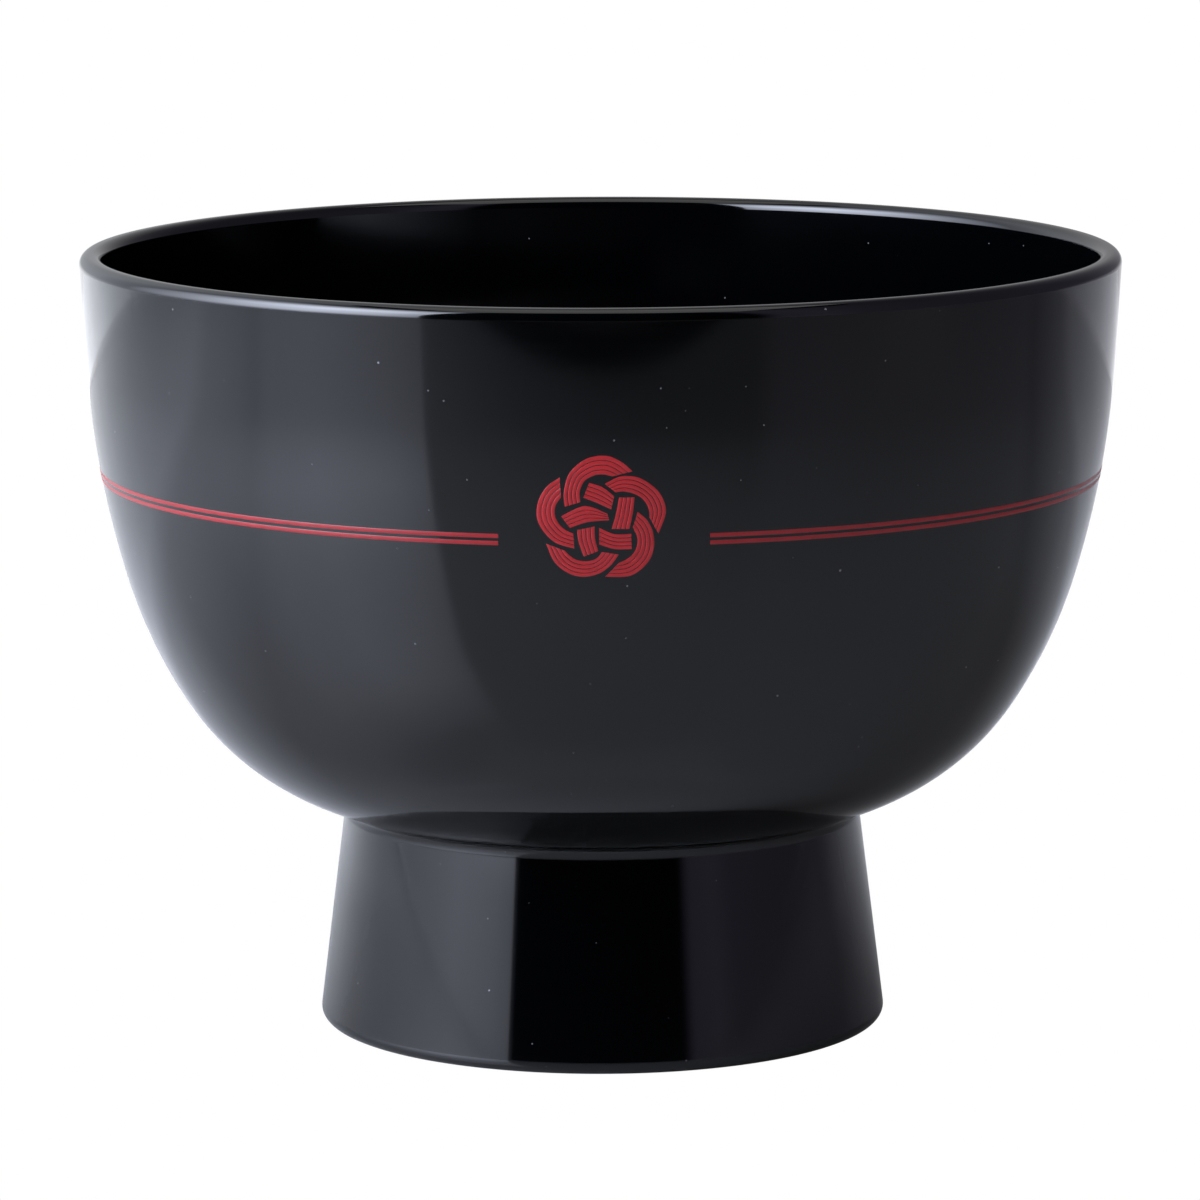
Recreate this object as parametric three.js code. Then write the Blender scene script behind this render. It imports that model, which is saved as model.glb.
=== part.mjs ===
// Soup bowl: a deep bowl bonded on a hollow flared foot, with two red lines and a red knot of five petals
// printed on the black wall. Millimetres, +Z up, origin on the table under the foot, front towards -Y.
import * as THREE from 'three';

// Bowl: outside size, wall and the run of its outer outline from the rim down to the seat
const RIM_DIAMETER = 110;
const WALL = 2.3;
const RIM_SWELL = 0.19;         // by which the inside leans in, so that the wall is thicker at the rim
const RIM_FILLET = 1.1;
const LIP_SHARE = 0.48;         // of the wall, the most that either rim fillet takes
const WALL_LEAN = 3.5;          // degrees from upright, of the straight wall under the rim
const WALL_STRAIGHT = 12;
const SHOULDER_RADIUS = 97;
const SHOULDER_LEAN = 17;       // degrees from upright where the shoulder arc ends
const BELLY_RADIUS = 50.8;
const BELLY_LEAN = 33.4;        // degrees from upright where the belly arc ends
const UNDERSIDE_RADIUS = 27.6;

// Foot: a flared stand, hollow from below, with a deck that carries the bowl and a lip round its underside
const FOOT_HEIGHT = 22.9;       // of the deck
const FOOT_BASE_DIAMETER = 60.6;
const FOOT_TOP_DIAMETER = 54.9; // of the flank at the deck's height
const FOOT_BASE_FILLET = 1.2;
const COVE_RADIUS = 1.35;       // of the hollow curve from the flank out to the lip
const SEAT_INSET = 1.2;         // from the flank to the edge of the bowl's flat seat
const FOOT_WALL = 3.6;
const FOOT_DECK = 4;
const HOLLOW_FILLET = 2;
const HOLLOW_EDGE_FILLET = 0.5;

// Joint between bowl and foot: a round tenon in the deck's socket, and a ring of adhesive on the deck
const TENON_DIAMETER = 34;
const TENON_LENGTH = 3.5;
const SOCKET_CLEARANCE = 0.3;
const BOND_THICKNESS = 0.15;
const BOND_WIDTH = 6.55;

// Print: films of red lacquer on the wall, placed by distances along the wall from the rim's edge
const FILM_CLEARANCE = 0.1;
const FILM_THICKNESS = 0.2;
const LINE_WIDTH = 0.44;
const LINE_PITCH = 0.74;
const LINES_FROM_RIM = 23.2;
const LINES_GAP = 21;           // between the ends of the lines, across the front
const LINES_SHIFT = 0.3;        // of the gap's middle to the right of the knot's
const KNOT_FROM_RIM = 21.1;

// The knot's cord, as the stretches of it that show between crossings: five petals clockwise from the top,
// and five strands inside them. Each is a list of sections across the cord, from its start to its end. A
// section gives its right end and its left end, as seen along the cord, each by x and y from the knot's middle.
const KNOT_STRETCHES = {
  knot_petal_1: [
    [-2, 1.9, -3.6, 1.4], [-2.05, 3, -3.68, 2.9], [-1.55, 4.05, -3.1, 4.85], [-0.55, 4.6, -1.5, 6.25],
    [0.3, 4.65, 0.45, 6.6], [0.75, 4.55, 2, 5.98], [1.15, 4.5, 3.12, 5],
  ],
  knot_petal_2: [
    [1.45, 2.85, 0.35, 3.75], [2.2, 2.92, 1.9, 4.5], [3.1, 2.72, 3.6, 4.4], [3.95, 2.25, 5.1, 3.5],
    [4.45, 1.6, 6.05, 2.3], [4.7, 0.9, 6.4, 0.7], [4.75, 0.25, 5.65, -1.45],
  ],
  knot_petal_3: [
    [3.1, -0.75, 3.6, 0.9], [3.4, -1.4, 4.55, 0], [3.55, -2.1, 5.15, -1.35], [3.4, -2.95, 5.2, -3],
    [2.95, -3.65, 4.55, -4.5], [2.35, -4.1, 2.9, -5.8], [1.75, -4.4, 0.35, -5.9],
  ],
  knot_petal_4: [
    [0.05, -3.25, 1.75, -3.55], [-0.4, -3.85, 0.95, -4.7], [-1.05, -4.15, -0.3, -5.6],
    [-1.8, -4.2, -1.9, -5.9], [-2.55, -4, -3.4, -5.45], [-3.1, -3.6, -4.7, -4.25], [-3.55, -3.15, -5.45, -2.4],
  ],
  knot_petal_5: [
    [-2.75, -1.3, -2.65, -2.95], [-3.4, -1.02, -4.5, -2.35], [-4, -0.5, -5.75, -1.1],
    [-4.4, 0.15, -6.35, 0.3], [-4.55, 0.85, -6.2, 1.95], [-4.4, 1.6, -5.35, 3.45], [-3.95, 2.3, -4.05, 4.4],
  ],
  knot_strand_1: [[1.72, 2.35, 3.32, 2.35], [1.45, 0.75, 3.15, 0.75], [1, -0.88, 2.82, -0.88]],
  knot_strand_2: [[-0.2, -2.5, -0.2, -0.72], [1.3, -3, 1.3, -1.38], [3, -3.02, 2.95, -1.38]],
  knot_strand_3: [[-2.38, -0.98, -0.6, -0.62], [-2.28, -2.1, -0.57, -1.9], [-1.75, -3.75, -0.26, -3.15]],
  knot_strand_4: [[-3.05, -0.8, -3.95, 0.45], [-1.3, -0.2, -1.6, 1.5], [0.8, 0, 0.6, 0.72]],
  knot_strand_5: [[-1.75, 2.3, -1.15, 3.88], [-0.3, 1.72, 0.15, 3.42], [0.98, 1.1, 1.3, 2.5]],
};

// Facets
const ROUND_STEPS = 72;
const FILLET_STEPS = 3;
const COVE_STEPS = 4;
const ARC_STEPS = { shoulder: 4, belly: 4, underside: 7 };
const CORD_STEPS = 2;           // between one section of a cord and the next

const BLACK = '#0b0b0d';
const RED = '#b4252f';
const AMBER = '#8a7448';

const radians = THREE.MathUtils.degToRad;

// Outer outline of the bowl, from the sharp rim corner down: a straight run, then three arcs that follow
// on smoothly. Each stretch knows where it starts, its lean there, its radius and its length.
function outlineStretches() {
  const stretches = [];
  let start = new THREE.Vector2(RIM_DIAMETER / 2, 0);
  let lean = radians(WALL_LEAN);
  const down = new THREE.Vector2(-Math.sin(lean), -Math.cos(lean));
  stretches.push({ start, lean, end: lean, radius: Infinity, length: WALL_STRAIGHT, steps: 1 });
  start = start.clone().addScaledVector(down, WALL_STRAIGHT);
  const seat = FOOT_TOP_DIAMETER / 2 - SEAT_INSET;
  const arcs = [
    { radius: SHOULDER_RADIUS, end: radians(SHOULDER_LEAN), steps: ARC_STEPS.shoulder },
    { radius: BELLY_RADIUS, end: radians(BELLY_LEAN), steps: ARC_STEPS.belly },
    { radius: UNDERSIDE_RADIUS, end: null, steps: ARC_STEPS.underside },
  ];
  for (const arc of arcs) {
    const outward = new THREE.Vector2(Math.cos(lean), -Math.sin(lean));
    const centre = start.clone().addScaledVector(outward, -arc.radius);
    // the underside arc runs on until it reaches the seat on the foot, or lies flat
    const end = arc.end ?? Math.acos(THREE.MathUtils.clamp((seat - centre.x) / arc.radius, 0, 1));
    const length = arc.radius * (end - lean);
    stretches.push({ start, lean, end, radius: arc.radius, length, centre, steps: arc.steps });
    start = new THREE.Vector2(centre.x + arc.radius * Math.cos(end), centre.y - arc.radius * Math.sin(end));
    lean = end;
  }
  return { stretches, last: start, seat };
}

const outline = outlineStretches();
const bowlDepth = -outline.last.y;

// Point of the wall's outside at a distance along it from the rim corner, with its lean from upright
function wallAt(distance) {
  let left = distance;
  for (const stretch of outline.stretches) {
    if (left > stretch.length) {
      left -= stretch.length;
      continue;
    }
    const lean = stretch.lean + left / stretch.radius;
    if (!stretch.centre) {
      const down = new THREE.Vector2(-Math.sin(lean), -Math.cos(lean));
      return { point: stretch.start.clone().addScaledVector(down, left), lean };
    }
    const outward = new THREE.Vector2(Math.cos(lean), -Math.sin(lean));
    return { point: stretch.centre.clone().addScaledVector(outward, stretch.radius), lean };
  }
  throw new Error('no wall there');
}

// Points of an outline whose corners are given as [radius, height, fillet]
function filleted(corners) {
  const points = [];
  corners.forEach(([r, z, fillet], i) => {
    const corner = new THREE.Vector2(r, z);
    if (!fillet) {
      points.push(corner);
      return;
    }
    const before = corners[(i + corners.length - 1) % corners.length];
    const after = corners[(i + 1) % corners.length];
    const toBefore = new THREE.Vector2(before[0] - r, before[1] - z).normalize();
    const toAfter = new THREE.Vector2(after[0] - r, after[1] - z).normalize();
    const half = toBefore.angleTo(toAfter) / 2;
    const inward = toBefore.clone().add(toAfter).normalize();
    const centre = corner.clone().addScaledVector(inward, fillet / Math.sin(half));
    const first = corner.clone().addScaledVector(toBefore, fillet / Math.tan(half)).sub(centre);
    const last = corner.clone().addScaledVector(toAfter, fillet / Math.tan(half)).sub(centre);
    const turn = Math.atan2(first.cross(last), first.dot(last));
    for (let step = 0; step <= FILLET_STEPS; step += 1) {
      points.push(first.clone().rotateAround(new THREE.Vector2(), (turn * step) / FILLET_STEPS).add(centre));
    }
  });
  return points;
}

// Solid turned round +Z from an outline that runs counter-clockwise in radius and height
function turned(points) {
  return new THREE.LatheGeometry(points, ROUND_STEPS).rotateX(Math.PI / 2);
}

// Bowl, with its seat on height zero: tenon, underside, outer wall, rim, inner wall and floor
function bowlGeometry() {
  const outer = [];
  const inner = [];
  const lip = Math.min(RIM_FILLET, LIP_SHARE * WALL);
  for (const { start, lean, end, radius, centre, steps } of outline.stretches) {
    if (!centre) {
      outer.push([start.x, start.y + bowlDepth, lip]);
      inner.push([start.x - WALL / Math.cos(lean) - RIM_SWELL, start.y + bowlDepth, lip]);
      continue;
    }
    const last = centre === outline.stretches.at(-1).centre;
    // inside, the lowest arc runs on to the flat floor or, in a narrow bowl, to the axis
    const innerEnd = last ? Math.acos(THREE.MathUtils.clamp(-centre.x / (radius - WALL), 0, 1)) : end;
    for (let step = 0; step <= steps; step += 1) {
      if (step === steps && !last) continue;
      const out = lean + ((end - lean) * step) / steps;
      const into = lean + ((innerEnd - lean) * step) / steps;
      const height = centre.y + bowlDepth;
      outer.push([centre.x + radius * Math.cos(out), height - radius * Math.sin(out), 0]);
      const reach = radius - WALL;
      inner.push([centre.x + reach * Math.cos(into), height - reach * Math.sin(into), 0]);
    }
  }
  const tenon = TENON_DIAMETER / 2;
  const floor = inner.at(-1);
  const corners = [[0, -TENON_LENGTH, 0], [tenon, -TENON_LENGTH, 0], [tenon, 0, 0]];
  corners.push(...outer.reverse(), ...inner);
  if (floor[0] > 0) corners.push([0, floor[1], 0]);
  return turned(filleted(corners));
}

// Points of the foot's cove and lip: up the cove, which touches the flank and would touch the underside of
// the bowl, to the lip's edge, then in along the underside, a bond's thickness below it, to the deck
function lipPoints() {
  const { radius, centre } = outline.stretches.at(-1);
  const round = new THREE.Vector2(centre.x, FOOT_HEIGHT + BOND_THICKNESS + bowlDepth + centre.y);
  const base = new THREE.Vector2(FOOT_BASE_DIAMETER / 2, 0);
  const up = new THREE.Vector2(FOOT_TOP_DIAMETER / 2, FOOT_HEIGHT).sub(base).normalize();
  const outward = new THREE.Vector2(up.y, -up.x);
  const beside = base.addScaledVector(outward, COVE_RADIUS);
  const reach = radius + COVE_RADIUS;
  const across = round.clone().sub(beside).dot(outward);
  const along = round.clone().sub(beside).dot(up) - Math.sqrt(reach ** 2 - across ** 2);
  const cove = beside.clone().addScaledVector(up, along);
  const below = radius + BOND_THICKNESS;
  const open = Math.acos((reach ** 2 + COVE_RADIUS ** 2 - below ** 2) / (2 * reach * COVE_RADIUS));
  const first = outward.clone().negate().angle();
  const last = round.clone().sub(cove).angle() + open;
  const points = [];
  for (let step = 0; step <= COVE_STEPS; step += 1) {
    const angle = first + ((last - first) * step) / COVE_STEPS;
    points.push(new THREE.Vector2(Math.cos(angle), Math.sin(angle)).multiplyScalar(COVE_RADIUS).add(cove));
  }
  const edge = points.at(-1).clone().sub(round).angle();
  const deck = 2 * Math.PI - Math.asin((round.y - FOOT_HEIGHT) / below);
  for (let step = 1; step <= COVE_STEPS; step += 1) {
    const angle = edge + ((deck - edge) * step) / COVE_STEPS;
    points.push(new THREE.Vector2(Math.cos(angle), Math.sin(angle)).multiplyScalar(below).add(round));
  }
  return points;
}

// Foot: flank, cove and lip, deck with its socket, and the hollow below
function footGeometry() {
  const base = FOOT_BASE_DIAMETER / 2;
  const top = FOOT_TOP_DIAMETER / 2;
  const socket = TENON_DIAMETER / 2 + SOCKET_CLEARANCE;
  const flare = (base - top) / FOOT_HEIGHT;
  const ceiling = FOOT_HEIGHT - FOOT_DECK;
  const corners = [
    [base - FOOT_WALL, 0, HOLLOW_EDGE_FILLET],
    [base, 0, FOOT_BASE_FILLET],
    ...lipPoints().map((point) => [point.x, point.y, 0]),
    [socket, FOOT_HEIGHT, 0],
    [socket, ceiling, 0],
    [base - flare * ceiling - FOOT_WALL, ceiling, HOLLOW_FILLET],
  ];
  const points = filleted(corners);
  points.push(points[0].clone());
  return turned(points);
}

// Adhesive ring on the foot's deck, midway between the socket and the edge of the bowl's seat
function bondGeometry() {
  const socket = TENON_DIAMETER / 2 + SOCKET_CLEARANCE;
  const midway = (socket + outline.seat) / 2;
  const inside = midway - BOND_WIDTH / 2;
  const outside = midway + BOND_WIDTH / 2;
  const corners = [[inside, 0], [outside, 0], [outside, BOND_THICKNESS], [inside, BOND_THICKNESS]];
  return turned([...corners, corners[0]].map(([r, z]) => new THREE.Vector2(r, z)));
}

// Bends a film from flat on to the wall. The flat film's x runs round the bowl from the front and its y
// up the wall from the given distance below the rim; z is its height off the wall.
function onWall(geometry, fromRim) {
  const position = geometry.attributes.position;
  for (let i = 0; i < position.count; i += 1) {
    const { point, lean } = wallAt(fromRim - position.getY(i));
    const turn = position.getX(i) / point.x;
    const off = position.getZ(i) + FILM_CLEARANCE + FILM_THICKNESS / 2;
    const r = point.x + off * Math.cos(lean);
    const z = point.y + bowlDepth - off * Math.sin(lean);
    position.setXYZ(i, r * Math.sin(turn), -r * Math.cos(turn), z);
  }
  return geometry;
}

// One line round the wall, from its end right of the knot, round the back, to its end left of it
function lineGeometry(above) {
  const fromRim = LINES_FROM_RIM - above;
  const radius = wallAt(fromRim).point.x;
  const round = 2 * Math.PI * radius;
  const flat = new THREE.BoxGeometry(round - LINES_GAP, LINE_WIDTH, FILM_THICKNESS, ROUND_STEPS, 1, 1);
  return onWall(flat.translate(round / 2 + LINES_SHIFT, 0, 0), fromRim);
}

// Film of one stretch of the knot's cord, with smooth edges through the ends of its sections
function cordGeometry(sections) {
  const right = new THREE.SplineCurve(sections.map(([x, y]) => new THREE.Vector2(x, y)));
  const left = new THREE.SplineCurve(sections.map(([, , x, y]) => new THREE.Vector2(x, y)));
  const steps = CORD_STEPS * (sections.length - 1);
  const geometry = new THREE.BoxGeometry(1, 1, FILM_THICKNESS, steps, 2, 1);
  const position = geometry.attributes.position;
  for (let i = 0; i < position.count; i += 1) {
    const along = position.getX(i) + 0.5;
    const across = position.getY(i) + 0.5;
    const point = right.getPoint(along).lerp(left.getPoint(along), across);
    position.setXY(i, point.x, point.y);
  }
  return onWall(geometry, KNOT_FROM_RIM);
}

function piece(name, geometry, color, roughness) {
  const mesh = new THREE.Mesh(geometry, new THREE.MeshStandardMaterial({ color, roughness, metalness: 0 }));
  mesh.name = name;
  return mesh;
}

const foot = piece('foot_stand', footGeometry(), BLACK, 0.12);
const bond = piece('bond_ring', bondGeometry(), AMBER, 0.5);
bond.position.z = FOOT_HEIGHT;

const bowl = new THREE.Group();
bowl.position.z = FOOT_HEIGHT + BOND_THICKNESS;
bowl.add(piece('bowl_body', bowlGeometry(), BLACK, 0.12));
bowl.add(piece('red_line_upper', lineGeometry(LINE_PITCH / 2), RED, 0.3));
bowl.add(piece('red_line_lower', lineGeometry(-LINE_PITCH / 2), RED, 0.3));
for (const [name, sections] of Object.entries(KNOT_STRETCHES)) {
  bowl.add(piece(name, cordGeometry(sections), RED, 0.3));
}

const soupBowl = new THREE.Group();
soupBowl.add(foot, bond, bowl);

export default soupBowl;
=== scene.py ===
import math

import bpy
from mathutils import Matrix, Vector


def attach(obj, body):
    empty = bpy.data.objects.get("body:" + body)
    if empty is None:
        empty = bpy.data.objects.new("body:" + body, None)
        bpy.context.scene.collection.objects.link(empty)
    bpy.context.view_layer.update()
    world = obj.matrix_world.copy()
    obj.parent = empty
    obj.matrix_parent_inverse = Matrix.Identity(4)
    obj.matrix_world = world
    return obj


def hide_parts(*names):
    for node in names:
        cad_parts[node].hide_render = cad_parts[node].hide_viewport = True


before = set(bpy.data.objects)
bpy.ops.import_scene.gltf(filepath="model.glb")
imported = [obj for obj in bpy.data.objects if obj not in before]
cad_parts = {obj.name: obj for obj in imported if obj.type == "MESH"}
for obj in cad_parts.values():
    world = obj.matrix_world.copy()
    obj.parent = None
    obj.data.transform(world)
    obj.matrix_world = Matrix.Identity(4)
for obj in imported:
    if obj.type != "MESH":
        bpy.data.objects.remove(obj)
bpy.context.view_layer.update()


# Foot: a tall stand, hollow from below, that flares down to its resting ring and curves out to a lip on top.
# It is moulded resin, turned true, sprayed with black gloss lacquer and polished.
# The lip cups the bowl's underside, and a deck inside it holds a round socket for the bowl's tenon.
FOOT_BASE_RADIUS = 0.0303
FOOT_TOP_RADIUS = 0.02745
FOOT_HEIGHT = 0.0229
FOOT_WALL = 0.0036
FOOT_DECK = 0.004
FOOT_EDGE_FILLET = 0.0012
COVE_RADIUS = 0.00135
LIP_GAP = 0.00003
UNDERSIDE_RADIUS = 0.0276
UNDERSIDE_CENTRE = (0.020998, 0.050145)
HOLLOW_FILLET = 0.002
HOLLOW_EDGE_FILLET = 0.0005
SOCKET_RADIUS = 0.0173
STEPS_ROUND = 256
FILLET_STEPS = 10
COVE_STEPS = 12
FILLET_HOLD = 0.00006
LONGEST_STRAIGHT = 0.0015
CREASE_ANGLE = math.radians(38)
MERGE_DISTANCE = 2e-6
LACQUER_BLACK = (0.0003, 0.0004, 0.0006, 1)
LACQUER_RELIEF = 1.2e-6
PEEL_SCALE = 260
WAVE_SCALE = 45
HAZE_SCALE = 70
POLISH_SCALE = (14, 14, 1900)
DUST_SCALE = 560
DUST_LEAST = 0.02
DUST_SPREAD = 0.075
DUST_EDGE = 28
DUST_RARITY = 0.25
DUST_COVER = 0.8
DUST_GREY = (0.16, 0.16, 0.17, 1)
RESIN_IOR = 1.5


class Wire:
    """One output socket, with the operators that add Math nodes."""

    def __init__(self, graph, socket):
        self.graph = graph
        self.socket = socket

    def out(self, name):
        return Wire(self.graph, self.socket.node.outputs[name])

    def math(self, operation, *others):
        return self.graph.math(operation, self, *others)

    def __add__(self, other):
        return self.math("ADD", other)

    def __sub__(self, other):
        return self.math("SUBTRACT", other)

    def __mul__(self, other):
        return self.math("MULTIPLY", other)

    def __truediv__(self, other):
        return self.math("DIVIDE", other)

    def __gt__(self, other):
        return self.math("GREATER_THAN", other)

    def __neg__(self):
        return self.math("MULTIPLY", -1)

    def __rsub__(self, other):
        return self.graph.math("SUBTRACT", other, self)

    def __rtruediv__(self, other):
        return self.graph.math("DIVIDE", other, self)

    __radd__ = __add__
    __rmul__ = __mul__


class Graph:
    """A node tree of a shape or a finish. One method adds any node."""

    def __init__(self, tree):
        self.tree = tree

    def node(self, kind, settings=None, inputs=None, output=0):
        made = self.tree.nodes.new(kind)
        for name, value in (settings or {}).items():
            if name == "stops":
                ramp = made.color_ramp.elements
                while len(ramp) < len(value):
                    ramp.new(1)
                for stop, (place, shade) in zip(ramp, value):
                    stop.position = place
                    stop.color = (*shade, 1)
            else:
                setattr(made, name, value)
        for name, value in (inputs or {}).items():
            if isinstance(value, Wire):
                self.tree.links.new(value.socket, made.inputs[name])
            else:
                made.inputs[name].default_value = value
        return Wire(self, made.outputs[output]) if made.outputs else None

    def math(self, operation, *values):
        return self.node("ShaderNodeMath", {"operation": operation}, dict(enumerate(values)))


def rounded_outline(corners, closed=False):
    """Half section through (radius, height, fillet) corners, counter-clockwise, with its fillets as arcs."""
    points = []
    for i, (radius, height, fillet) in enumerate(corners):
        corner = Vector((radius, height))
        if not fillet:
            points.append(corner)
            continue
        back = (Vector(corners[i - 1][:2]) - corner).normalized()
        onward = (Vector(corners[(i + 1) % len(corners)][:2]) - corner).normalized()
        half = back.angle(onward) / 2
        reach = fillet / math.tan(half)
        centre = corner + (back + onward).normalized() * fillet / math.sin(half)
        spoke = corner + back * reach - centre
        last = corner + onward * reach - centre
        turn = math.atan2(spoke.x * last.y - spoke.y * last.x, spoke.dot(last))
        points.append(corner + back * (reach + FILLET_HOLD))
        for step in range(FILLET_STEPS + 1):
            points.append(centre + Matrix.Rotation(turn * step / FILLET_STEPS, 2) @ spoke)
        points.append(corner + onward * (reach + FILLET_HOLD))
    if closed:
        points.append(points[0])
    outline = [points[0]]
    for start, end in zip(points, points[1:]):
        pieces = math.ceil((end - start).length / LONGEST_STRAIGHT)
        outline += [start.lerp(end, (step + 1) / pieces) for step in range(pieces)]
    return outline


def shape_tree(name, inputs):
    """An empty tree with named inputs, and a way to read them."""
    tree = bpy.data.node_groups.new(name, "GeometryNodeTree")
    tree.interface.new_socket("Geometry", in_out="INPUT", socket_type="NodeSocketGeometry")
    for label, kind in inputs.items():
        tree.interface.new_socket(label, in_out="INPUT", socket_type=kind)
    tree.interface.new_socket("Geometry", in_out="OUTPUT", socket_type="NodeSocketGeometry")
    graph = Graph(tree)
    return graph, graph.node("NodeGroupInput")


def finish_tree(graph, shape, crease, finish):
    """Smooth faces between creased edges, then the finish, as the last nodes of a tree."""
    smooth = graph.node("GeometryNodeSetShadeSmooth", {"domain": "FACE"}, {"Geometry": shape})
    bend = graph.node("GeometryNodeInputMeshEdgeAngle")
    creased = graph.node(
        "GeometryNodeSetShadeSmooth",
        {"domain": "EDGE"},
        {"Geometry": smooth, "Selection": bend > crease, "Shade Smooth": False},
    )
    real = graph.node("GeometryNodeRealizeInstances", inputs={"Geometry": creased})
    coated = graph.node("GeometryNodeSetMaterial", inputs={"Geometry": real, "Material": finish})
    graph.node("NodeGroupOutput", inputs={"Geometry": coated})


def turning_tree():
    """Turns an outline of points (radius, 0, height) once round the upright axis."""
    graph, given = shape_tree(
        "turned round the axis",
        {
            "Steps round": "NodeSocketInt",
            "Crease angle": "NodeSocketFloat",
            "Finish": "NodeSocketMaterial",
        },
    )
    steps = given.out("Steps round")
    count = graph.node("GeometryNodeAttributeDomainSize", {"component": "MESH"}, {"Geometry": given})
    sheet = graph.node("GeometryNodeMeshGrid", inputs={"Vertices X": steps + 1, "Vertices Y": count})
    index = graph.node("GeometryNodeInputIndex")
    column = (index / count).math("FLOOR")
    point = graph.node(
        "GeometryNodeSampleIndex",
        {"data_type": "FLOAT_VECTOR", "domain": "POINT"},
        {
            "Geometry": given,
            "Value": graph.node("GeometryNodeInputPosition"),
            "Index": index - column * count,
        },
    )
    radius = graph.node("ShaderNodeSeparateXYZ", inputs={"Vector": point})
    turn = column * math.tau / steps
    round_axis = graph.node(
        "ShaderNodeCombineXYZ",
        inputs={
            "X": radius * turn.math("SINE"),
            "Y": -radius * turn.math("COSINE"),
            "Z": radius.out("Z"),
        },
    )
    turned = graph.node("GeometryNodeSetPosition", inputs={"Geometry": sheet, "Position": round_axis})
    closed = graph.node(
        "GeometryNodeMergeByDistance",
        inputs={"Geometry": turned, "Distance": MERGE_DISTANCE},
    )
    finish_tree(graph, closed, given.out("Crease angle"), given.out("Finish"))
    return graph.tree


def shaped(name, start, tree, values):
    """Runs a tree on a starting mesh and keeps the result as a plain mesh."""
    piece = bpy.data.objects.new(name, start)
    bpy.context.scene.collection.objects.link(piece)
    modifier = piece.modifiers.new(tree.name, "NODES")
    modifier.node_group = tree
    for item in tree.interface.items_tree:
        if item.in_out == "INPUT" and item.name in values:
            modifier[item.identifier] = values[item.name]
    made = piece.evaluated_get(bpy.context.evaluated_depsgraph_get())
    mesh = bpy.data.meshes.new_from_object(made)
    piece.modifiers.clear()
    piece.data = mesh
    bpy.data.meshes.remove(start)
    mesh.name = name
    return piece


def turned_piece(name, outline, finish):
    start = bpy.data.meshes.new("outline")
    start.from_pydata([(point.x, 0, point.y) for point in outline], [], [])
    sizes = {"Steps round": STEPS_ROUND, "Crease angle": CREASE_ANGLE, "Finish": finish}
    return shaped(name, start, turned_round_axis, sizes)


def new_finish(name):
    """An empty material with no nodes, which every finish here starts from and gives its shader."""
    finish = bpy.data.materials.new(name)
    finish.use_nodes = True
    finish.node_tree.nodes.clear()
    return finish, Graph(finish.node_tree)


def lacquer_finish():
    """Sprayed black lacquer: faint orange peel, cloudy haze, polishing rings and settled dust."""
    finish, graph = new_finish("black gloss lacquer")
    place = graph.node("ShaderNodeTexCoord", output="Object")
    peel = graph.node("ShaderNodeTexNoise", inputs={"Vector": place, "Scale": PEEL_SCALE, "Detail": 1.5})
    wave = graph.node("ShaderNodeTexNoise", inputs={"Vector": place, "Scale": WAVE_SCALE, "Detail": 1})
    haze = graph.node("ShaderNodeTexNoise", inputs={"Vector": place, "Scale": HAZE_SCALE, "Detail": 4})
    ring_space = graph.node("ShaderNodeMapping", inputs={"Vector": place, "Scale": POLISH_SCALE})
    rings = graph.node("ShaderNodeTexNoise", inputs={"Vector": ring_space, "Scale": 1, "Detail": 3})
    specks = graph.node("ShaderNodeTexVoronoi", inputs={"Vector": place, "Scale": DUST_SCALE})
    chance = graph.node("ShaderNodeSeparateColor", inputs={"Color": specks.out("Color")})
    reach = DUST_LEAST + DUST_SPREAD * chance.out("Green") * chance.out("Blue")
    grain = ((reach - specks) * DUST_EDGE).math("MAXIMUM", 0).math("MINIMUM", 1)
    dust = grain * (chance > DUST_RARITY)
    colour = graph.node(
        "ShaderNodeMix", {"data_type": "RGBA"}, {0: dust * DUST_COVER, 6: LACQUER_BLACK, 7: DUST_GREY}, 2
    )
    gloss = 0.03 + 0.04 * haze + 0.02 * rings + 0.3 * dust
    height = peel * 0.5 + wave * 3 + rings * 0.03
    bump = graph.node("ShaderNodeBump", inputs={"Strength": 1, "Distance": LACQUER_RELIEF, "Height": height})
    shader = graph.node(
        "ShaderNodeBsdfPrincipled",
        inputs={"Base Color": colour, "Roughness": gloss, "IOR": RESIN_IOR, "Normal": bump},
    )
    graph.node("ShaderNodeOutputMaterial", inputs={"Surface": shader})
    return finish


def assemble(piece, slot, *nodes):
    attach(piece, "root")
    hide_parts(*nodes)


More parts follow.
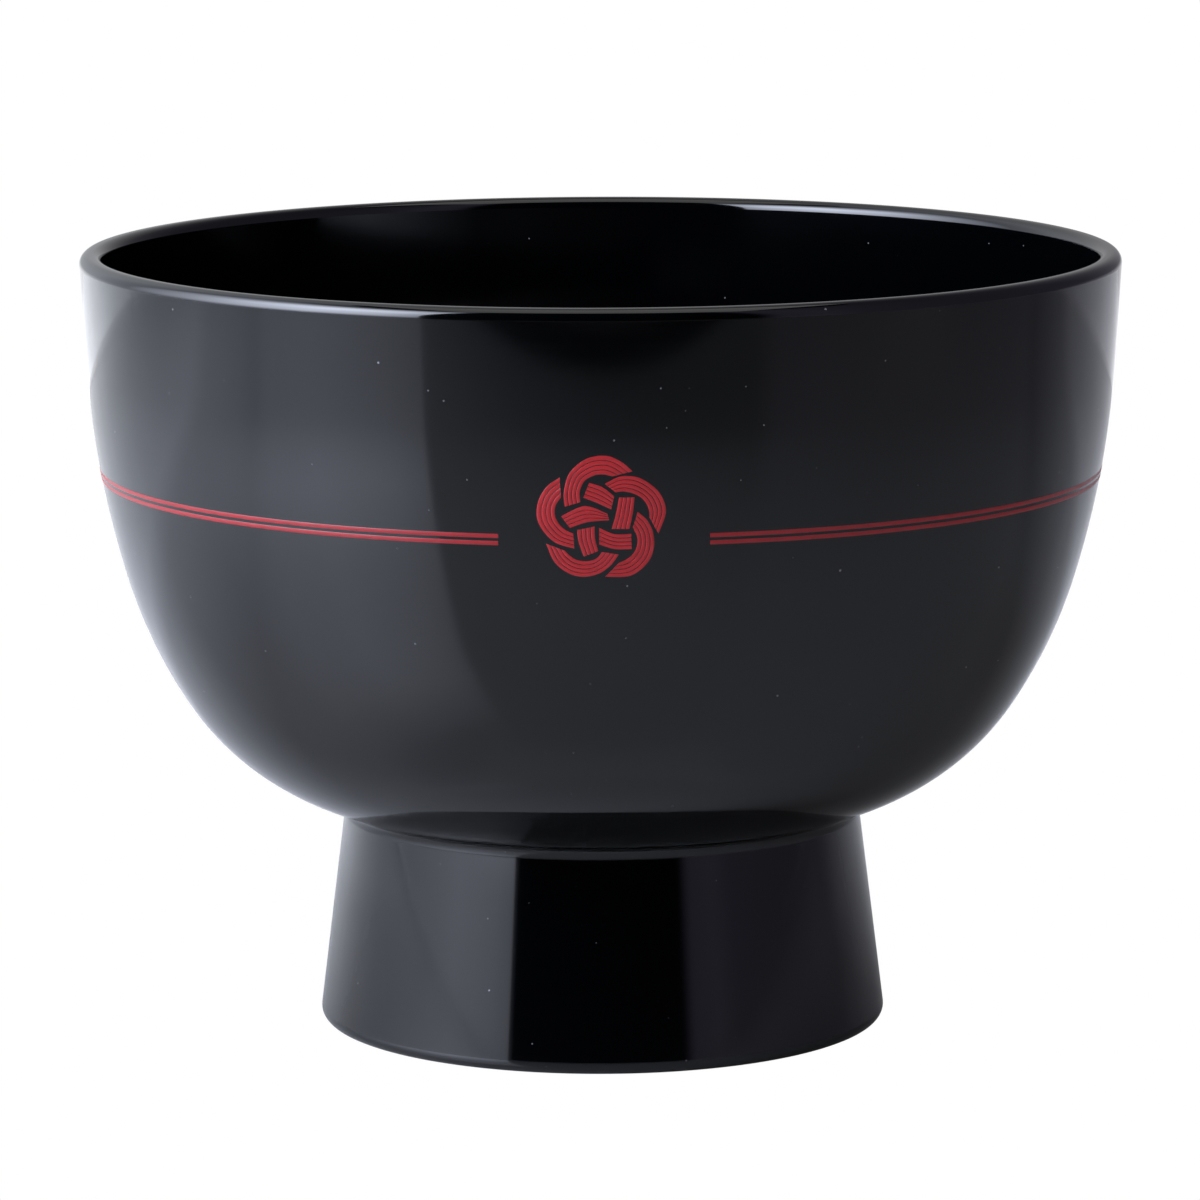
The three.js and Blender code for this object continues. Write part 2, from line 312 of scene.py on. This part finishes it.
def lip_outline():
    """Up the cove from the flank to the lip's edge, then in along the bowl's underside to the deck."""
    underside = Vector(UNDERSIDE_CENTRE)
    base = Vector((FOOT_BASE_RADIUS, 0))
    up = (Vector((FOOT_TOP_RADIUS, FOOT_HEIGHT)) - base).normalized()
    outward = Vector((up.y, -up.x))
    beside = base + COVE_RADIUS * outward
    reach = UNDERSIDE_RADIUS + COVE_RADIUS
    across = (underside - beside).dot(outward)
    climb = (underside - beside).dot(up) - math.sqrt(reach**2 - across**2)
    cove = beside + climb * up
    below = UNDERSIDE_RADIUS + LIP_GAP
    opening = math.acos((reach**2 + COVE_RADIUS**2 - below**2) / (2 * reach * COVE_RADIUS))
    spoke = -COVE_RADIUS * outward
    last = Matrix.Rotation(opening, 2) @ (underside - cove)
    turn = math.atan2(spoke.x * last.y - spoke.y * last.x, spoke.dot(last))
    points = [cove + spoke - FILLET_HOLD * up]
    for step in range(COVE_STEPS + 1):
        points.append(cove + Matrix.Rotation(turn * step / COVE_STEPS, 2) @ spoke)
    edge = math.atan2(points[-1].x - underside.x, underside.y - points[-1].y)
    deck = math.acos((underside.y - FOOT_HEIGHT) / below)
    for step in range(1, COVE_STEPS + 1):
        angle = edge + (deck - edge) * step / COVE_STEPS
        points.append(underside + below * Vector((math.sin(angle), -math.cos(angle))))
    return points


turned_round_axis = turning_tree()
black_lacquer = lacquer_finish()
flare = (FOOT_BASE_RADIUS - FOOT_TOP_RADIUS) / FOOT_HEIGHT
ceiling = FOOT_HEIGHT - FOOT_DECK
foot = turned_piece(
    "foot_turned",
    rounded_outline(
        [
            (FOOT_BASE_RADIUS - FOOT_WALL, 0, HOLLOW_EDGE_FILLET),
            (FOOT_BASE_RADIUS, 0, FOOT_EDGE_FILLET),
            *((point.x, point.y, 0) for point in lip_outline()),
            (SOCKET_RADIUS, FOOT_HEIGHT, 0),
            (SOCKET_RADIUS, ceiling, 0),
            (FOOT_BASE_RADIUS - flare * ceiling - FOOT_WALL, ceiling, HOLLOW_FILLET),
        ],
        closed=True,
    ),
    black_lacquer,
)
assemble(foot, "black_lacquer", "foot_stand")


# Adhesive: the thin cured ring that holds the bowl on the foot's deck, hidden in the joint.
# It is amber two-part adhesive, pressed flat between deck and seat with its edges rounded by flow.
BOND_INNER_RADIUS = 0.0185
BOND_OUTER_RADIUS = 0.02505
BOND_THICKNESS = 0.00015
BOND_EDGE_FILLET = 0.00006
AMBER_CLEAR = (0.34, 0.2, 0.06, 1)
AMBER_DARK = (0.16, 0.08, 0.02, 1)
CLOUD_SCALE = 320
BUBBLE_SCALE = 1500
BUBBLE_RELIEF = 0.00002
ADHESIVE_IOR = 1.52


def adhesive_finish():
    """Cured amber adhesive with cloudy patches and small trapped bubbles."""
    finish, graph = new_finish("cured amber adhesive")
    place = graph.node("ShaderNodeTexCoord", output="Object")
    cloud = graph.node("ShaderNodeTexNoise", inputs={"Vector": place, "Scale": CLOUD_SCALE, "Detail": 4})
    bubbles = graph.node("ShaderNodeTexVoronoi", inputs={"Vector": place, "Scale": BUBBLE_SCALE})
    colour = graph.node("ShaderNodeMix", {"data_type": "RGBA"}, {0: cloud, 6: AMBER_DARK, 7: AMBER_CLEAR}, 2)
    bump = graph.node("ShaderNodeBump", inputs={"Strength": 1, "Distance": BUBBLE_RELIEF, "Height": bubbles})
    shader = graph.node(
        "ShaderNodeBsdfPrincipled",
        inputs={"Base Color": colour, "Roughness": 0.3 + 0.3 * cloud, "IOR": ADHESIVE_IOR, "Normal": bump},
    )
    graph.node("ShaderNodeOutputMaterial", inputs={"Surface": shader})
    return finish


seat_height = FOOT_HEIGHT + BOND_THICKNESS
adhesive = turned_piece(
    "bond_bead",
    rounded_outline(
        [
            (BOND_INNER_RADIUS, FOOT_HEIGHT, BOND_EDGE_FILLET),
            (BOND_OUTER_RADIUS, FOOT_HEIGHT, BOND_EDGE_FILLET),
            (BOND_OUTER_RADIUS, seat_height, BOND_EDGE_FILLET),
            (BOND_INNER_RADIUS, seat_height, BOND_EDGE_FILLET),
        ],
        closed=True,
    ),
    adhesive_finish(),
)
assemble(adhesive, "adhesive", "bond_ring")


# Bowl: a deep shell, nearly upright at the rim and drawn in by three arcs to a flat seat on the foot.
# Moulded resin, a little thicker at its rounded lip, in the foot's black lacquer inside and out.
# A short tenon under its floor sits in the foot's socket, in the adhesive.
RIM_RADIUS = 0.055
WALL = 0.0023
RIM_SWELL = 0.00019
LIP_FILLET = 0.0011
WALL_LEAN = math.radians(3.5)
WALL_STRAIGHT = 0.012
SHOULDER_RADIUS = 0.097
SHOULDER_LEAN = math.radians(17)
BELLY_RADIUS = 0.0508
BELLY_LEAN = math.radians(33.4)
SEAT_RADIUS = 0.02625
TENON_RADIUS = 0.017
TENON_LENGTH = 0.0035
ARC_STEP = 0.001


def wall_arc(centre, radius, first, last):
    """Points down an arc of the wall, by its lean from upright."""
    steps = math.ceil(radius * (last - first) / ARC_STEP)
    leans = [first + (last - first) * step / steps for step in range(steps + 1)]
    return [centre + radius * Vector((math.cos(lean), -math.sin(lean))) for lean in leans]


rim_corner = Vector((RIM_RADIUS, 0))
start = rim_corner - WALL_STRAIGHT * Vector((math.sin(WALL_LEAN), math.cos(WALL_LEAN)))
lean = WALL_LEAN
outer_wall = []
inner_wall = []
for radius, end_lean in (
    (SHOULDER_RADIUS, SHOULDER_LEAN),
    (BELLY_RADIUS, BELLY_LEAN),
    (UNDERSIDE_RADIUS, None),
):
    centre = start - radius * Vector((math.cos(lean), -math.sin(lean)))
    inner_end = end_lean
    if end_lean is None:
        end_lean = math.acos((SEAT_RADIUS - centre.x) / radius)
        inner_end = math.pi / 2
    outer_wall += wall_arc(centre, radius, lean, end_lean)[bool(outer_wall):]
    inner_wall += wall_arc(centre, radius - WALL, lean, inner_end)[bool(inner_wall):]
    start = outer_wall[-1]
    lean = end_lean
rise = Vector((0, seat_height - start.y))
rim_corner += rise
outer_wall = [point + rise for point in outer_wall]
inner_wall = [point + rise for point in inner_wall]
bowl = turned_piece(
    "bowl_shell",
    rounded_outline(
        [
            (0, seat_height - TENON_LENGTH, 0),
            (TENON_RADIUS, seat_height - TENON_LENGTH, 0),
            (TENON_RADIUS, seat_height, 0),
            *((point.x, point.y, 0) for point in reversed(outer_wall)),
            (*rim_corner, LIP_FILLET),
            (rim_corner.x - WALL / math.cos(WALL_LEAN) - RIM_SWELL, rim_corner.y, LIP_FILLET),
            *((point.x, point.y, 0) for point in inner_wall),
            (0, inner_wall[-1].y, 0),
        ]
    ),
    black_lacquer,
)
assemble(bowl, "black_lacquer", "bowl_body")


# Lines: two thin red lines run round the wall at a third of its depth and stop short of the knot.
# They are red lacquer ink, screen printed on the polished wall in one pass with the knot.
# The ink lies thinner on them than on the knot, so their red is darker.
LINE_WIDTH = 0.00044
LINE_PITCH = 0.00074
LINES_FROM_RIM = 0.0232
LINES_GAP = 0.021
LINES_SHIFT = 0.0003
LINE_STEPS = 300
INK_PROUD = 0.00003
INK_SUNK = 0.00003
INK_EDGE = 0.00004
INK_RELIEF = 6e-6
INK_RED = (0.35, 0.012, 0.016)
INK_DEEP = (0.24, 0.0075, 0.01)
MOTTLE_SCALE = 900
SCREEN_SCALE = 5200
LINE_COVER = 0.75


def printing_tree():
    """Wraps flat print, x round the wall, y up it and z off it, on to the bowl below its rim."""
    graph, given = shape_tree(
        "printed on the wall",
        {
            "Wall": "NodeSocketObject",
            "From rim": "NodeSocketFloat",
            "Crease angle": "NodeSocketFloat",
            "Finish": "NodeSocketMaterial",
        },
    )
    place = graph.node("GeometryNodeInputPosition")
    flat = graph.node("ShaderNodeSeparateXYZ", inputs={"Vector": place})
    wall = graph.node("GeometryNodeObjectInfo", inputs={"Object": given.out("Wall")}, output="Geometry")
    below = graph.node(
        "GeometryNodeSampleCurve",
        {"mode": "LENGTH"},
        {"Curves": wall, "Length": given.out("From rim") - flat.out("Y")},
    )
    point = graph.node("ShaderNodeSeparateXYZ", inputs={"Vector": below.out("Position")})
    downward = graph.node("ShaderNodeSeparateXYZ", inputs={"Vector": below.out("Tangent")})
    radius = point - downward.out("Z") * flat.out("Z")
    turn = flat / point
    on_wall = graph.node(
        "ShaderNodeCombineXYZ",
        inputs={
            "X": radius * turn.math("SINE"),
            "Y": -radius * turn.math("COSINE"),
            "Z": point.out("Z") + downward * flat.out("Z"),
        },
    )
    printed = graph.node("GeometryNodeSetPosition", inputs={"Geometry": given, "Position": on_wall})
    finish_tree(graph, printed, given.out("Crease angle"), given.out("Finish"))
    return graph.tree


def ink_finish(name, cover):
    """Red lacquer ink: mottled cover, a slightly uneven deposit and the printing screen's fine grain."""
    finish, graph = new_finish(name)
    deep, full = ([*(part * cover for part in shade), 1] for shade in (INK_DEEP, INK_RED))
    place = graph.node("ShaderNodeTexCoord", output="Object")
    mottle = graph.node("ShaderNodeTexNoise", inputs={"Vector": place, "Scale": MOTTLE_SCALE, "Detail": 3})
    screen = graph.node("ShaderNodeTexVoronoi", inputs={"Vector": place, "Scale": SCREEN_SCALE})
    colour = graph.node("ShaderNodeMix", {"data_type": "RGBA"}, {0: mottle, 6: deep, 7: full}, 2)
    bump = graph.node(
        "ShaderNodeBump",
        inputs={"Strength": 1, "Distance": INK_RELIEF, "Height": screen * 0.4 + mottle},
    )
    shader = graph.node(
        "ShaderNodeBsdfPrincipled",
        inputs={"Base Color": colour, "Roughness": 0.26 + 0.16 * mottle, "IOR": RESIN_IOR, "Normal": bump},
    )
    graph.node("ShaderNodeOutputMaterial", inputs={"Surface": shader})
    return finish


def ink_section(middle, width):
    """Section of one printed stroke, across it and off the wall, with its upper edges rounded by flow."""
    side = width / 2
    return [
        (middle - side, -INK_SUNK),
        (middle + side, -INK_SUNK),
        (middle + side, INK_PROUD * 0.4),
        (middle + side - INK_EDGE, INK_PROUD),
        (middle - side + INK_EDGE, INK_PROUD),
        (middle - side, INK_PROUD * 0.4),
    ]


def printed_piece(node, strokes, from_rim, ink):
    """Closed strokes of ink on the wall, each given as a row of its sections."""
    points = []
    faces = []
    for sections in strokes:
        count = len(sections[0])
        for section in sections[:-1]:
            first = len(points)
            points += section
            for i in range(count):
                j = (i + 1) % count
                faces.append((first + i, first + j, first + count + j, first + count + i))
        points += sections[-1]
        end = len(points)
        begin = end - count * len(sections)
        faces.append(range(begin + count - 1, begin - 1, -1))
        faces.append(range(end - count, end))
    start = bpy.data.meshes.new("strokes")
    start.from_pydata(points, [], faces)
    values = {"Wall": wall_course, "From rim": from_rim, "Crease angle": CREASE_ANGLE, "Finish": ink}
    piece = shaped(f"{node}_print", start, printed_on_wall, values)
    assemble(piece, "red_print", node)


def wall_radius(from_rim):
    """Radius of the wall at a distance along it from the rim's corner."""
    wall = [rim_corner, *outer_wall]
    for upper, lower in zip(wall, wall[1:]):
        run = (lower - upper).length
        if from_rim <= run:
            return upper.lerp(lower, from_rim / run).x
        from_rim -= run


wall_curve = bpy.data.curves.new("wall_course", "CURVE")
wall_curve.dimensions = "3D"
wall_spline = wall_curve.splines.new("POLY")
wall_spline.points.add(len(outer_wall))
for node_point, point in zip(wall_spline.points, [rim_corner, *outer_wall]):
    node_point.co = (point.x, 0, point.y, 1)
wall_course = bpy.data.objects.new("wall_course", wall_curve)
bpy.context.scene.collection.objects.link(wall_course)
printed_on_wall = printing_tree()
thin_ink = ink_finish("thin red lacquer ink", LINE_COVER)
for node, above in (("red_line_upper", LINE_PITCH / 2), ("red_line_lower", -LINE_PITCH / 2)):
    from_rim = LINES_FROM_RIM - above
    span = math.tau - LINES_GAP / wall_radius(from_rim)
    first = (LINES_GAP / 2 + LINES_SHIFT) / wall_radius(from_rim)
    line = []
    for step in range(LINE_STEPS + 1):
        bearing = first + span * step / LINE_STEPS
        section = ink_section(0, LINE_WIDTH)
        line.append([(bearing * wall_radius(from_rim - across), across, off) for across, off in section])
    printed_piece(node, [line], from_rim, thin_ink)


# Knot: a traditional five-petal cord knot at the front, drawn as one closed cord of four strands.
# It is the lines' red ink. Where the cord dips under itself, a sliver of black wall shows.
# A section across the cord is x and y, in millimetres from the knot's middle, of its right and left ends.
MILLIMETRES_IN_METRE = 1000
KNOT_FROM_RIM = 0.0211
KNOT_COVER = 1
CORD_STRANDS = 4
STRAND_SPLIT = 0.00006
CORD_STEPS = 9
KNOT_STRETCHES = {
    "knot_petal_1": [
        (-2, 1.9, -3.6, 1.4), (-2.05, 3, -3.68, 2.9), (-1.55, 4.05, -3.1, 4.85), (-0.55, 4.6, -1.5, 6.25),
        (0.3, 4.65, 0.45, 6.6), (0.75, 4.55, 2, 5.98), (1.15, 4.5, 3.12, 5),
    ],
    "knot_petal_2": [
        (1.45, 2.85, 0.35, 3.75), (2.2, 2.92, 1.9, 4.5), (3.1, 2.72, 3.6, 4.4), (3.95, 2.25, 5.1, 3.5),
        (4.45, 1.6, 6.05, 2.3), (4.7, 0.9, 6.4, 0.7), (4.75, 0.25, 5.65, -1.45),
    ],
    "knot_petal_3": [
        (3.1, -0.75, 3.6, 0.9), (3.4, -1.4, 4.55, 0), (3.55, -2.1, 5.15, -1.35), (3.4, -2.95, 5.2, -3),
        (2.95, -3.65, 4.55, -4.5), (2.35, -4.1, 2.9, -5.8), (1.75, -4.4, 0.35, -5.9),
    ],
    "knot_petal_4": [
        (0.05, -3.25, 1.75, -3.55), (-0.4, -3.85, 0.95, -4.7), (-1.05, -4.15, -0.3, -5.6),
        (-1.8, -4.2, -1.9, -5.9), (-2.55, -4, -3.4, -5.45), (-3.1, -3.6, -4.7, -4.25),
        (-3.55, -3.15, -5.45, -2.4),
    ],
    "knot_petal_5": [
        (-2.75, -1.3, -2.65, -2.95), (-3.4, -1.02, -4.5, -2.35), (-4, -0.5, -5.75, -1.1),
        (-4.4, 0.15, -6.35, 0.3), (-4.55, 0.85, -6.2, 1.95), (-4.4, 1.6, -5.35, 3.45),
        (-3.95, 2.3, -4.05, 4.4),
    ],
    "knot_strand_1": [(1.72, 2.35, 3.32, 2.35), (1.45, 0.75, 3.15, 0.75), (1, -0.88, 2.82, -0.88)],
    "knot_strand_2": [(-0.2, -2.5, -0.2, -0.72), (1.3, -3, 1.3, -1.38), (3, -3.02, 2.95, -1.38)],
    "knot_strand_3": [(-2.38, -0.98, -0.6, -0.62), (-2.28, -2.1, -0.57, -1.9), (-1.75, -3.75, -0.26, -3.15)],
    "knot_strand_4": [(-3.05, -0.8, -3.95, 0.45), (-1.3, -0.2, -1.6, 1.5), (0.8, 0, 0.6, 0.72)],
    "knot_strand_5": [(-1.75, 2.3, -1.15, 3.88), (-0.3, 1.72, 0.15, 3.42), (0.98, 1.1, 1.3, 2.5)],
}


def curve_through(points, share):
    """Point of the smooth curve through the points, by its share of the way along them."""
    place = share * (len(points) - 1)
    i = min(int(place), len(points) - 2)
    past = place - i
    step = points[i + 1] - points[i]
    leave = (points[i + 1] - points[max(i - 1, 0)]) / 2
    arrive = (points[min(i + 2, len(points) - 1)] - points[i]) / 2
    bend = 3 * step - 2 * leave - arrive
    return points[i] + past * (leave + past * (bend + past * (leave + arrive - 2 * step)))


def cord_strokes(sections):
    """A stretch of cord as its strands, side by side between smooth edges."""
    right = [Vector(section[:2]) / MILLIMETRES_IN_METRE for section in sections]
    left = [Vector(section[2:]) / MILLIMETRES_IN_METRE for section in sections]
    steps = CORD_STEPS * (len(sections) - 1)
    strokes = [[] for strand in range(CORD_STRANDS)]
    for step in range(steps + 1):
        edge = curve_through(right, step / steps)
        across = curve_through(left, step / steps) - edge
        pitch = across.length / CORD_STRANDS
        for strand, stroke in enumerate(strokes):
            section = ink_section((strand + 0.5) * pitch, pitch - STRAND_SPLIT)
            stroke.append([(*(edge + reach * across.normalized()), off) for reach, off in section])
    return strokes


red_ink = ink_finish("red lacquer ink", KNOT_COVER)
for node, sections in KNOT_STRETCHES.items():
    printed_piece(node, cord_strokes(sections), KNOT_FROM_RIM, red_ink)
bpy.data.objects.remove(wall_course)


# Studio: a polished table in a tent of white cloth, open to the camera and with a sheer skirt at its back.
# A tall soft lamp at the left is mirrored by the table, and a panel above and a cloth at the right fill in.
# The camera sees a plain pale sweep, and the lacquer sees the table, with light and shade painted into its
# colour, the tent and the floor in front.
SHEET_STEPS = 90
TENT_RADIUS = 0.5
TENT_HEIGHT = 1
TENT_RISE = [(0, 1), (1, 1)]
TENT_GLOW = [
    (-180, (0.42, 0.42, 0.43)),
    (-162, (0.55, 0.57, 0.6)),
    (-140, (0.9, 0.95, 1.05)),
    (-118, (0.85, 0.9, 1.03)),
    (-108, (0.65, 0.7, 0.81)),
    (-38, (0.65, 0.7, 0.81)),
    (-36, (0, 0, 0)),
    (32, (0, 0, 0)),
    (37, (0.25, 0.24, 0.34)),
    (47, (0.28, 0.27, 0.37)),
    (56, (0.21, 0.2, 0.28)),
    (90, (0.15, 0.14, 0.19)),
    (125, (0.11, 0.105, 0.145)),
    (150, (0.16, 0.16, 0.19)),
    (180, (0.42, 0.42, 0.43)),
]
SKIRT_RADIUS = 0.49
SKIRT_RISE = [(0, 1), (0.03, 1), (0.08, 0)]
SKIRT_GLOW = [
    (-112, (0, 0, 0)),
    (-130, (0.32, 0.33, 0.35)),
    (-150, (0.7, 0.7, 0.72)),
    (-180, (0.68, 0.68, 0.7)),
    (-195, (0.52, 0.52, 0.54)),
    (-210, (0.38, 0.38, 0.4)),
    (-225, (0.24, 0.24, 0.26)),
    (-248, (0, 0, 0)),
]
LAMP_RADIUS = 0.48
LAMP_STRENGTH = 15
LAMP_TINT = (0.93, 1, 1.2)
LAMP_RISE = [
    (0, 0.085), (0.03, 0.1), (0.06, 0.32), (0.1, 0.6), (0.15, 0.7),
    (0.22, 0.78), (0.34, 1), (0.45, 0.97), (0.56, 0.6), (0.76, 0.12),
]
LAMP_SPREAD = [(-120, 0), (-98, 0.3), (-82, 0.65), (-63, 1), (-53, 0.92), (-45, 0.78), (-37, 0.5)]
FILL_RADIUS = 0.46
FILL_HEIGHT = 0.6
FILL_SPREAD = (10, 75)
FILL_GLOW = 1.1
PANEL_HEIGHT = 0.85
PANEL_SIDE = 0.32
PANEL_GLOW = 1.2
TABLE_LEVEL = -0.0003
TABLE_FRONT = -0.355
TABLE_SIDE = 0.6
TABLE_SLANT = 0.25
TABLE_SPAN = 0.5
TABLE_ROUGHNESS = 0.13
# The table's colour by depth is painted light and shade: darker towards its front edge where the light falls
# off, a painted shadow band just behind the bowl, and lighter towards the back.
TABLE_PAINTED_LIGHT_AND_SHADE = [
    (0, 0.17), (0.2, 0.26), (0.5, 0.32), (0.67, 0.32), (0.72, 0.26),
    (0.78, 0.34), (0.86, 0.42), (0.92, 0.47), (1, 0.66),
]
FLOOR_EDGE = -0.385
FLOOR_FRONT = -0.7
FLOOR_GLOW = 0.1
ROOM_GLOW = 0.004
SWEEP_GLOW = 1
SWEEP_FLAT = 4
SWEEP_BEND = 1
SWEEP_HEIGHT = 6
SWEEP_STEPS = 6


def stage_sheet(name, points, faces, finish):
    mesh = bpy.data.meshes.new(name)
    mesh.from_pydata(points, [], faces)
    mesh.materials.append(finish)
    sheet = bpy.data.objects.new(name, mesh)
    bpy.context.scene.collection.objects.link(sheet)
    sheet.visible_camera = False
    return sheet


def round_sheet(name, radius, low, high, first, last, finish):
    """Upright sheet bent round the axis, by its bearings from the front."""
    points = []
    for step in range(SHEET_STEPS + 1):
        bearing = math.radians(first + (last - first) * step / SHEET_STEPS)
        points.append((radius * math.sin(bearing), -radius * math.cos(bearing), low))
        points.append((radius * math.sin(bearing), -radius * math.cos(bearing), high))
    faces = [(2 * i, 2 * i + 1, 2 * i + 3, 2 * i + 2) for i in range(SHEET_STEPS)]
    return stage_sheet(name, points, faces, finish)


def level_sheet(name, front, back, side, height, finish):
    corners = [(-side, front, height), (side, front, height), (side, back, height), (-side, back, height)]
    stage_sheet(name, corners, [(0, 1, 2, 3)], finish)


def glowing_cloth(name, by_bearing, by_height, strength):
    """Sheer cloth that glows by its bearing from the front, in degrees, and by its height."""
    finish, graph = new_finish(name)
    place = graph.node("ShaderNodeTexCoord", output="Object")
    across = graph.node("ShaderNodeSeparateXYZ", inputs={"Vector": place})
    first, last = by_bearing[0][0], by_bearing[-1][0]
    middle = math.radians((first + last) / 2)
    ahead = across * math.sin(middle) - across.out("Y") * math.cos(middle)
    aside = across * math.cos(middle) + across.out("Y") * math.sin(middle)
    share = aside.math("ARCTAN2", ahead) / math.radians(last - first) + 0.5
    round_stops = [((bearing - first) / (last - first), shade) for bearing, shade in by_bearing]
    rise_stops = [(height, [part] * 3) for height, part in by_height]
    spread = graph.node("ShaderNodeValToRGB", {"stops": round_stops}, {"Fac": share})
    rise = graph.node("ShaderNodeValToRGB", {"stops": rise_stops}, {"Fac": across.out("Z")})
    glow = graph.node("ShaderNodeEmission", inputs={"Color": spread, "Strength": rise * strength})
    clear = graph.node("ShaderNodeBsdfTransparent")
    shader = graph.node("ShaderNodeAddShader", inputs={0: glow, 1: clear})
    graph.node("ShaderNodeOutputMaterial", inputs={"Surface": shader})
    return finish


def plain_glow(name, strength):
    finish, graph = new_finish(name)
    shader = graph.node("ShaderNodeEmission", inputs={"Strength": strength})
    graph.node("ShaderNodeOutputMaterial", inputs={"Surface": shader})
    return finish


tent_cloth = glowing_cloth("tent cloth", TENT_GLOW, TENT_RISE, 1)
round_sheet("tent", TENT_RADIUS, 0, TENT_HEIGHT, -180, 180, tent_cloth)
skirt_cloth = glowing_cloth("skirt cloth", SKIRT_GLOW, SKIRT_RISE, 1)
skirt_height = SKIRT_RISE[-1][0]
round_sheet("skirt", SKIRT_RADIUS, 0, skirt_height, SKIRT_GLOW[0][0], SKIRT_GLOW[-1][0], skirt_cloth)
lamp_spread = [(bearing, [share * part for part in LAMP_TINT]) for bearing, share in LAMP_SPREAD]
lamp_cloth = glowing_cloth("lamp cloth", lamp_spread, LAMP_RISE, LAMP_STRENGTH)
lamp_low, lamp_high = LAMP_RISE[0][0], LAMP_RISE[-1][0]
round_sheet("lamp", LAMP_RADIUS, lamp_low, lamp_high, LAMP_SPREAD[0][0], LAMP_SPREAD[-1][0], lamp_cloth)
fill_cloth = plain_glow("fill cloth", FILL_GLOW)
fill = round_sheet("fill", FILL_RADIUS, 0, FILL_HEIGHT, *FILL_SPREAD, fill_cloth)
fill.visible_glossy = False
fill.visible_shadow = False
panel_cloth = plain_glow("panel cloth", PANEL_GLOW)
level_sheet("panel", -PANEL_SIDE, PANEL_SIDE, PANEL_SIDE, PANEL_HEIGHT, panel_cloth)
floor_paint = plain_glow("floor paint", FLOOR_GLOW)
level_sheet("floor", FLOOR_FRONT, FLOOR_EDGE, TABLE_SIDE, TABLE_LEVEL, floor_paint)

# Painted light and shade: the table's colour darkens towards its front edge, dips in a painted shadow band
# just behind the bowl and lightens towards the back.
table_with_painted_light, graph = new_finish("table top")
place = graph.node("ShaderNodeTexCoord", output="Object")
across = graph.node("ShaderNodeSeparateXYZ", inputs={"Vector": place})
depth = (across.out("Y") - TABLE_SLANT * across - TABLE_FRONT) / TABLE_SPAN
stops = [(part, [shade] * 3) for part, shade in TABLE_PAINTED_LIGHT_AND_SHADE]
shade = graph.node("ShaderNodeValToRGB", {"stops": stops}, {"Fac": depth})
shader = graph.node(
    "ShaderNodeBsdfPrincipled",
    inputs={"Base Color": shade, "Roughness": TABLE_ROUGHNESS, "IOR": RESIN_IOR},
)
graph.node("ShaderNodeOutputMaterial", inputs={"Surface": shader})
level_sheet("table", TABLE_FRONT, TABLE_SIDE, TABLE_SIDE, TABLE_LEVEL, table_with_painted_light)

sweep_outline = [Vector((0, 0))]
for step in range(SWEEP_STEPS + 1):
    angle = math.pi / 2 * step / SWEEP_STEPS
    bend = Vector((math.sin(angle), 1 - math.cos(angle)))
    sweep_outline.append(Vector((SWEEP_FLAT, 0)) + SWEEP_BEND * bend)
sweep_outline.append(Vector((SWEEP_FLAT + SWEEP_BEND, SWEEP_HEIGHT)))
sweep = turned_piece("sweep", sweep_outline, plain_glow("sweep paper", SWEEP_GLOW))
sweep.visible_diffuse = False
sweep.visible_glossy = False
sweep.visible_transmission = False
sweep.visible_shadow = False

world = bpy.data.worlds.new("room")
world.use_nodes = True
world.node_tree.nodes["Background"].inputs["Color"].default_value = (1, 1, 1, 1)
world.node_tree.nodes["Background"].inputs["Strength"].default_value = ROOM_GLOW
bpy.context.scene.world = world
bpy.context.scene.view_settings.view_transform = "Standard"


# Camera: a long lens about 0.7 m away and a little above the rim, square on to the knot.
# It is turned by fractions of a degree, so that the bowl lies in the frame as photographed.
CAMERA_EYE = Vector((0, -0.69585, 0.15855))
CAMERA_TARGET = Vector((0, 0, 0.04))
CAMERA_LENS = 198.6
CAMERA_SENSOR = 36
CAMERA_TILT = math.radians(0.388)
CAMERA_SWING = math.radians(0.012)
CAMERA_ROLL = math.radians(0.17)
lens = bpy.data.cameras.new("camera")
lens.lens = CAMERA_LENS
lens.sensor_width = CAMERA_SENSOR
camera = bpy.data.objects.new("camera", lens)
aim = (CAMERA_EYE - CAMERA_TARGET).to_track_quat("Z", "Y").to_matrix()
turn = Matrix.Rotation(CAMERA_SWING, 3, "Y") @ Matrix.Rotation(CAMERA_TILT, 3, "X")
turn = turn @ Matrix.Rotation(-CAMERA_ROLL, 3, "Z")
camera.matrix_world = Matrix.Translation(CAMERA_EYE) @ (aim @ turn).to_4x4()
bpy.context.scene.collection.objects.link(camera)
bpy.context.scene.camera = camera
